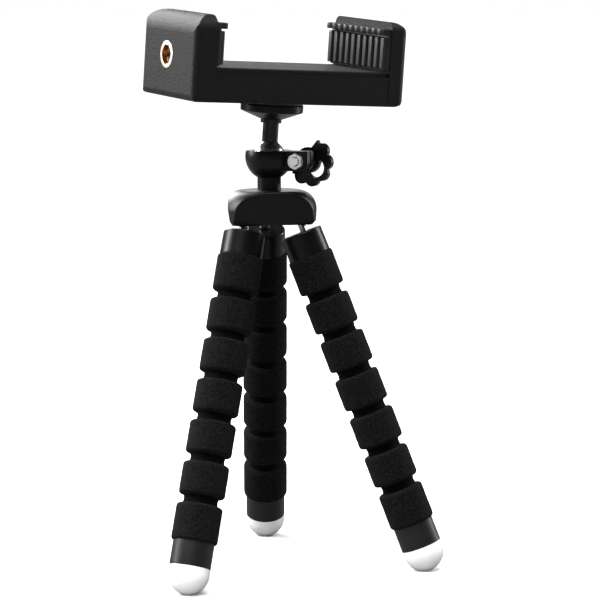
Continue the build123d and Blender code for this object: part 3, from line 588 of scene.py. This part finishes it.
def modelWireRoot(name):
    # made upright, then its lower part is spun about the bend's centre
    values = wire
    run = values["bendRadius"] * tan(lean / 2)
    clearSelection()
    bpy.ops.mesh.primitive_circle_add(
        vertices=values["sides"], radius=values["radius"], fill_type="NGON",
        location=(0, 0, values["rootLength"]))
    bpy.ops.object.transform_apply(location=True, rotation=True, scale=True)
    root = named(name)
    edit(root)
    bpy.ops.mesh.select_all(action="SELECT")
    bpy.ops.mesh.extrude_region_move(
        TRANSFORM_OT_translate={"value": (0, 0, run - values["rootLength"])})
    bpy.ops.mesh.spin(
        steps=values["bendSteps"], angle=lean, center=(values["bendRadius"], 0, run),
        axis=(0, -1, 0))
    way = Vector((sin(lean), 0, -cos(lean)))
    for _ in range(values["rootCuts"]):
        stride = way * (values["rootEnd"] - run) / values["rootCuts"]
        bpy.ops.mesh.extrude_region_move(TRANSFORM_OT_translate={"value": stride})
    bpy.ops.mesh.select_all(action="SELECT")
    bpy.ops.mesh.remove_doubles(threshold=exact / 10)
    bpy.ops.mesh.normals_make_consistent(inside=False)
    endEdit()
    smooth(root, values["smoothAngle"])
    return root


def modelWireLength(name, length):
    piece = startRod(name, wire["radius"], 0, length, wire["sides"])
    edit(piece)
    pickEdges(piece, lambda a, b: abs(a.z - b.z) > length / 2)
    bpy.ops.mesh.subdivide(number_cuts=wire["cuts"])
    endEdit()
    smooth(piece, wire["smoothAngle"])
    return piece


rootModel = modelWireRoot("rootModel")
lengthModel = modelWireLength("lengthModel", foam["pitch"])
for leg in legNames:
    place = legPlace(leg)
    down = place.to_3x3() @ up
    outward = Vector((down.x, down.y, 0)).normalized()
    pivot = jointPoint(f"{leg}_leg_spread")
    root = putAt(copyOf(rootModel, f"{leg}WireRoot"), placeAt(pivot, up, outward))
    dress(root, wireAluminium)
    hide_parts(f"{leg}_leg_wire")
    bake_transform(root)
    for number in range(1, foamCount):
        middle = foam["first"] + (number - 0.5) * foam["pitch"]
        piece = copyOf(lengthModel, f"{leg}WireLength{number}")
        putAt(piece, place @ Matrix.Translation((0, 0, middle)))
        dress(piece, wireAluminium)
        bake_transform(piece)
    tailStart = foam["first"] + (foamCount - 0.5) * foam["pitch"]
    tail = modelWireLength(f"{leg}WireTail", wire["end"] - tailStart)
    putAt(tail, place @ Matrix.Translation((0, 0, tailStart)))
    dress(tail, wireAluminium)
    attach(tail, f"{leg}_end")
for model in (rootModel, lengthModel):
    remove(model)
print("leg wires modelled")

# Jaw springs: hook, coil and hook over the two pins on each side
spring = {
    "wireRadius": 0.25 * mm, "coilRadius": 1.65 * mm, "turns": 13, "pitch": 1.1 * mm,
    "hookRadius": 1.27 * mm, "fixedPin": -25.2 * mm, "slidingPin": -3.2 * mm,
    "line": 12.6 * mm, "height": 5.7 * mm, "stepsPerTurn": 20, "hookSteps": 8, "rounding": 2,
    "smoothAngle": 60}
pinSpan = spring["slidingPin"] - spring["fixedPin"]
coilStart = (pinSpan - spring["turns"] * spring["pitch"]) / 2  # from the fixed pin


def hookPoints(centre, start):
    # half a turn round a pin, clockwise from the given angle
    points = []
    for index in range(spring["hookSteps"] + 1):
        angle = radians(start - 180 / spring["hookSteps"] * index)
        points.append((centre + spring["hookRadius"] * cos(angle),
                       spring["hookRadius"] * sin(angle), 0))
    return points


def coilPoints():
    points = []
    for index in range(spring["turns"] * spring["stepsPerTurn"] + 1):
        angle = 2 * pi * index / spring["stepsPerTurn"]
        points.append((coilStart + spring["pitch"] * index / spring["stepsPerTurn"],
                       spring["coilRadius"] * cos(angle), spring["coilRadius"] * sin(angle)))
    return points


def modelSpring(name, side):
    values = spring
    points = hookPoints(0, -90) + coilPoints() + hookPoints(pinSpan, 90)
    clearSelection()
    line = bpy.data.curves.new(name, "CURVE")
    line.dimensions = "3D"
    line.bevel_depth = values["wireRadius"]
    line.bevel_resolution = values["rounding"]
    line.use_fill_caps = True
    run = line.splines.new("POLY")
    run.points.add(len(points) - 1)
    for point, spot in zip(run.points, points):
        point.co = (spot[0] + values["fixedPin"], spot[1] + side * values["line"],
                    spot[2] + values["height"], 1)
    piece = bpy.data.objects.new(name, line)
    bpy.context.scene.collection.objects.link(piece)
    activate(piece)
    bpy.ops.object.convert(target="MESH")
    piece = bpy.context.object
    smooth(piece, values["smoothAngle"])
    return putAt(piece, clampPlace)


for side, name in ((-1, "frontJawSpring"), (1, "backJawSpring")):
    piece = modelSpring(name, side)
    dress(piece, steel)
    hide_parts("jaw_springs")
    # only the coil stretches
    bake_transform(piece)
print("jaw springs modelled")

# Jaw pads: a rubber sheet with rounded ribs and a scalloped lip along its top
pad = {
    "fixedFace": -28.75 * mm, "slidingFace": 30.35 * mm, "bottom": 10.8 * mm, "top": 23.6 * mm,
    "half": 17.5 * mm, "base": 1.2 * mm, "depth": 2.6 * mm, "ribCount": 10, "ribPitch": 3.6 * mm,
    "ribWidth": 2.3 * mm, "ribLow": 11.3 * mm, "ribHigh": 21.2 * mm, "ribRound": 0.6 * mm,
    "lipLow": 21.8 * mm, "lipReach": 3.8 * mm, "teeth": 10, "toothSteps": 8,
    "toothDepth": 0.9 * mm, "edgeRound": 0.25 * mm, "edgeSteps": 2, "ribSteps": 4,
    "lipAngle": 50, "smoothAngle": 45}


def modelLip():
    # a bar whose outer face dips in waves between its teeth
    values = pad
    lip = startBlock("padLip", (values["base"] / 2, -values["half"], values["lipLow"]),
                     (values["lipReach"], values["half"], values["top"]))
    steps = values["teeth"] * values["toothSteps"]
    edit(lip)
    pickEdges(lip, lambda a, b: abs(a.y - b.y) > values["half"])
    bpy.ops.mesh.subdivide(number_cuts=steps - 1)
    stepWidth = 2 * values["half"] / steps
    for phase in range(values["toothSteps"]):
        pickEdges(lip, lambda a, b: a.x > values["base"] and b.x > values["base"]
                  and abs(a.y - b.y) < stepWidth / 2
                  and round((a.y + values["half"]) / stepWidth) % values["toothSteps"] == phase)
        dip = values["toothDepth"] * (0.5 + 0.5 * cos(2 * pi * phase / values["toothSteps"])) ** 2
        bpy.ops.transform.translate(value=(-dip, 0, 0))
    endEdit()
    applyModifier(lip, "BEVEL", width=values["edgeRound"], segments=values["edgeSteps"],
                  angle_limit=radians(values["lipAngle"]))
    return lip


def modelPad():
    # made at the origin with its ribs towards x
    values = pad
    sheet = startBlock("padSheet", (0, -values["half"], values["bottom"]),
                       (values["base"], values["half"], values["top"]))
    applyModifier(sheet, "BEVEL", width=values["edgeRound"], segments=values["edgeSteps"])
    halfWidth = values["ribWidth"] / 2
    rib = startBlock("padRib", (values["base"] / 2, -halfWidth, values["ribLow"]),
                     (values["depth"], halfWidth, values["ribHigh"]))
    edit(rib)
    pickEdges(rib, lambda a, b: a.x > values["base"] and b.x > values["base"])
    bpy.ops.mesh.bevel(offset=values["ribRound"], segments=values["ribSteps"])
    endEdit()
    parts = [sheet]
    for number in range(values["ribCount"]):
        across = (number - (values["ribCount"] - 1) / 2) * values["ribPitch"]
        parts.append(putAt(copyOf(rib, f"padRib{number}"), Matrix.Translation((0, across, 0))))
    remove(rib)
    piece = joined([*parts, modelLip()], "padModel")
    smooth(piece, values["smoothAngle"])
    return piece


padModel = modelPad()
for name, face, heading, body in (("fixedJawPad", pad["fixedFace"], 0, "clamp"),
                                  ("slidingJawPad", pad["slidingFace"], pi, "jaw")):
    piece = copyOf(padModel, name)
    turned = Matrix.Translation((face, 0, 0)) @ Matrix.Rotation(heading, 4, "Z")
    putAt(piece, clampPlace @ turned)
    dress(piece, blackRubber)
    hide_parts("fixed_jaw_pad" if body == "clamp" else "sliding_jaw_pad")
    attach(piece, body)
remove(padModel)
print("jaw pads modelled")

# Threaded insert in the clamp's end: a brass sleeve with a quarter-inch thread
insert = {
    "radius": 4.13 * mm, "bore": 2.8 * mm, "tooth": 0.5 * mm, "pitch": 1.27 * mm,
    "mouthChamfer": 0.35 * mm, "rimChamfer": 0.15 * mm, "sides": 64, "proud": 0.05 * mm,
    "threadSink": 0.04 * mm, "threadStart": 0.75, "smoothAngle": 35}


def paintBoreShade(sleeve, radius):
    # painted shade: the bore and its thread are coloured a dark brown brass, standing in for the
    # shade inside the hole; the ring round its mouth keeps the pale brass
    sleeve.data.materials.append(brass)
    sleeve.data.materials.append(shadedThreadBrass)
    edit(sleeve)
    pickFaces(sleeve, lambda c, n: c.xy.length < radius)
    sleeve.active_material_index = 1
    bpy.ops.object.material_slot_assign()
    endEdit()


def modelThread(name, length):
    # one tooth of the thread's profile, carried round by a Screw modifier
    values = insert
    clearSelection()
    bpy.ops.mesh.primitive_circle_add(vertices=4, radius=values["tooth"])
    thread = named(name)
    edit(thread)
    bpy.ops.mesh.select_all(action="SELECT")
    bpy.ops.transform.rotate(value=pi / 2, orient_axis="X", center_override=(0, 0, 0))
    bpy.ops.transform.translate(value=(values["bore"] + values["threadSink"], 0,
                                       values["pitch"] * values["threadStart"]))
    endEdit()
    applyModifier(thread, "SCREW", screw_offset=values["pitch"],
                  iterations=int(length / values["pitch"]) - 1,
                  steps=values["sides"], render_steps=values["sides"], axis="Z")
    edit(thread)
    bpy.ops.mesh.select_all(action="SELECT")
    bpy.ops.mesh.fill_holes(sides=0)
    bpy.ops.mesh.select_all(action="SELECT")
    bpy.ops.mesh.normals_make_consistent(inside=False)
    endEdit()
    # painted shade: the thread takes the dark brown brass of the bore
    thread.data.materials.append(shadedThreadBrass)
    return thread


def modelInsert(name, place, length):
    values = insert
    sleeve = startRod(
        name + "Sleeve", values["radius"], -values["proud"], length, values["sides"])
    edit(sleeve)
    for away in (-1, 1):
        pickFaces(sleeve, endFace(away))
        bpy.ops.mesh.inset(thickness=values["radius"] - values["bore"])
        bpy.ops.mesh.delete(type="FACE")
    atMouth = rimAt(-values["proud"])
    reach = values["bore"] + near
    pickEdges(sleeve, lambda a, b: a.xy.length < reach and b.xy.length < reach)
    bpy.ops.mesh.bridge_edge_loops()
    pickEdges(sleeve, lambda a, b: atMouth(a, b) and a.xy.length > reach)
    bpy.ops.mesh.bevel(offset=values["rimChamfer"], segments=2)
    pickEdges(
        sleeve, lambda a, b: atMouth(a, b) and a.xy.length < reach and b.xy.length < reach)
    bpy.ops.mesh.bevel(offset=values["mouthChamfer"], segments=1)
    endEdit()
    paintBoreShade(sleeve, values["bore"] + values["mouthChamfer"] / 2)
    piece = joined([sleeve, modelThread(name + "Thread", length)], name)
    smooth(piece, values["smoothAngle"])
    return putAt(piece, place)


low, high = reachOf("end_insert", clampPlace)
mouth = placeAt(clampPlace @ Vector((low.x, (low.y + high.y) / 2, (low.z + high.z) / 2)),
                jointAxis("jaw_slide"), up)
piece = modelInsert("endInsert", mouth, high.x - low.x)
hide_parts("end_insert")
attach(piece, "clamp")
print("threaded insert modelled")

# Nut on the clamping bolt: a chamfered hexagon with a countersunk hole
nut = {
    "corner": 2.54 * mm, "chamfer": 0.32 * mm, "hole": 1.45 * mm, "sink": 0.4 * mm,
    "sinkReach": 1.2, "turningSides": 64, "holeSides": 48, "smoothAngle": 30}


def modelNut(name, low, high):
    values = nut
    body = startRod(name, values["corner"], low, high, 6)
    turning = startRod("nutTurning", values["corner"], low, high, values["turningSides"])
    edit(turning)
    pickEdges(turning, rimAt(high))
    bpy.ops.mesh.bevel(offset=values["chamfer"], segments=1)
    endEdit()
    applyModifier(body, "BOOLEAN", operation="INTERSECT", object=turning, solver="EXACT")
    remove(turning)
    # the hole's top is sunk, then drawn out wider, a little past the nut's face
    hole = startRod("nutHole", values["hole"], low - mm, high, values["holeSides"])
    rise = values["sink"] * values["sinkReach"]
    edit(hole)
    pickFaces(hole, capAt(high))
    bpy.ops.transform.translate(value=(0, 0, -values["sink"]))
    bpy.ops.mesh.extrude_region_move(TRANSFORM_OT_translate={"value": (0, 0, rise)})
    wider = 1 + rise / values["hole"]
    bpy.ops.transform.resize(value=(wider, wider, 1))
    endEdit()
    applyModifier(body, "BOOLEAN", operation="DIFFERENCE", object=hole, solver="EXACT")
    remove(hole)
    smooth(body, values["smoothAngle"])
    return body


low, high = reachOf("clamp_nut", boltPlace)
piece = putAt(modelNut("clampNut", low.z, high.z), boltPlace)
dress(piece, brightZinc)
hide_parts("clamp_nut")
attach(piece, "hub")
print("nut modelled")

# Camera at the photograph's own angle
camera = {
    "lens": 163.41, "sensor": 36, "clip": (0.01, 60), "distance": 0.83687, "turn": -28.5,
    "pitch": 6.39, "roll": -0.37, "aimHeight": 0.0947, "slide": (9.28 * mm, -11.72 * mm)}


def makeCamera():
    values = camera
    bpy.ops.object.camera_add()
    view = bpy.context.object
    view.name = "photoCamera"
    view.data.lens = values["lens"]
    view.data.sensor_width = values["sensor"]
    turned = (Matrix.Rotation(radians(values["turn"]), 3, "Z")
              @ Matrix.Rotation(radians(90 - values["pitch"]), 3, "X")
              @ Matrix.Rotation(radians(values["roll"]), 3, "Z"))
    right, top, back = turned.transposed()
    aim = hubCentre + up * values["aimHeight"]
    spot = aim + back * values["distance"] + right * values["slide"][0] + top * values["slide"][1]
    view.matrix_world = Matrix.Translation(spot) @ turned.to_4x4()
    view.data.clip_start, view.data.clip_end = values["clip"]
    bpy.context.scene.camera = view
    return right, back


cameraRight, cameraBack = makeCamera()

# Studio: a pale floor, a plain white room, a wide soft sun and five lamps round the hub,
# each at its turn from the camera
studio = {
    "floorSize": 40.0, "floorColor": (0.93, 0.93, 0.93), "floorRoughness": 0.9,
    "floorSpecular": 0.1, "floorBounce": (0.16, 0.16, 0.16), "roomColor": (1, 1, 1),
    "roomLight": 0.04, "roomSeen": 1.0, "sunPower": 4.2, "sunSpread": 50, "sunTilt": (12, -14, 0)}
lights = {
    "keyLight": {
        "turn": -98, "height": 0.5, "distance": 0.8, "size": 0.3, "tall": 0.6,
        "power": 10, "aim": 0.1, "gloss": True},
    "backLight": {
        "turn": -148, "height": 0.5, "distance": 0.75, "size": 0.5, "tall": 0.3,
        "power": 6.8, "aim": 0.14, "gloss": True},
    "rimLight": {
        "turn": 114, "height": 0.4, "distance": 0.7, "size": 0.15, "tall": 0.7,
        "power": 4.5, "aim": 0.1, "gloss": True},
    "topLight": {
        "turn": 179, "height": 0.3, "distance": 0.85, "size": 0.6, "tall": 0.1,
        "power": 0.75, "aim": 0.16, "gloss": True},
    # whitens the feet without a highlight on the blacks
    "footLight": {
        "turn": -12, "height": 0.2, "distance": 0.9, "size": 0.5, "tall": 0.15,
        "power": 5, "aim": 0, "gloss": False}}


def makeFloor():
    clearSelection()
    bpy.ops.mesh.primitive_plane_add(size=studio["floorSize"])
    floor = named("studioFloor")
    paint = finish("floorPaint", studio["floorColor"], studio["floorRoughness"],
                   specular=studio["floorSpecular"])
    # the floor is pale to the eye, and throws back less light than it shows
    shader = paint.node_tree.nodes["Principled BSDF"]
    output = paint.node_tree.nodes["Material Output"]
    bounce = addNode(paint, "ShaderNodeBsdfDiffuse", Color=(*studio["floorBounce"], 1))
    seen, mix = addNode(paint, "ShaderNodeLightPath"), addNode(paint, "ShaderNodeMixShader")
    link(paint, seen.outputs["Is Camera Ray"], mix.inputs["Fac"])
    link(paint, bounce.outputs["BSDF"], mix.inputs[1])
    link(paint, shader.outputs["BSDF"], mix.inputs[2])
    link(paint, mix.outputs["Shader"], output.inputs["Surface"])
    floor.data.materials.append(paint)
    floor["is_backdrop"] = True


def makeRoom():
    # white to the eye, and dim to everything else
    room = bpy.data.worlds.new("studioRoom")
    bpy.context.scene.world = room
    room.use_nodes = True
    tree = room.node_tree
    tree.nodes.clear()
    output = tree.nodes.new("ShaderNodeOutputWorld")
    mix = tree.nodes.new("ShaderNodeMixShader")
    rays = tree.nodes.new("ShaderNodeLightPath")
    for index, strength in ((1, studio["roomLight"]), (2, studio["roomSeen"])):
        glow = tree.nodes.new("ShaderNodeBackground")
        glow.inputs["Color"].default_value = (*studio["roomColor"], 1)
        glow.inputs["Strength"].default_value = strength
        tree.links.new(glow.outputs["Background"], mix.inputs[index])
    tree.links.new(rays.outputs["Is Camera Ray"], mix.inputs["Fac"])
    tree.links.new(mix.outputs["Shader"], output.inputs["Surface"])


def makeLights():
    bpy.ops.object.light_add(type="SUN", rotation=[radians(tilt) for tilt in studio["sunTilt"]])
    bpy.context.object.name = "softSun"
    bpy.context.object.data.energy = studio["sunPower"]
    bpy.context.object.data.angle = radians(studio["sunSpread"])
    for name, values in lights.items():
        heading = radians(values["turn"])
        side = cameraBack * cos(heading) + cameraRight * sin(heading)
        side.z = 0
        spot = hubCentre + side.normalized() * values["distance"] + up * values["height"]
        bpy.ops.object.light_add(type="AREA", location=spot)
        light = bpy.context.object
        light.name = name
        light.data.shape = "RECTANGLE"
        light.data.size = values["size"]
        light.data.size_y = values["tall"]
        light.data.energy = values["power"]
        light.visible_camera = False
        light.visible_glossy = values["gloss"]
        target = hubCentre + up * values["aim"]
        light.rotation_euler = (target - spot).to_track_quat("-Z", "Y").to_euler()


makeFloor()
makeRoom()
makeLights()
bpy.context.scene.view_settings.view_transform = "Standard"
print("camera and studio set")

low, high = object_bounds()
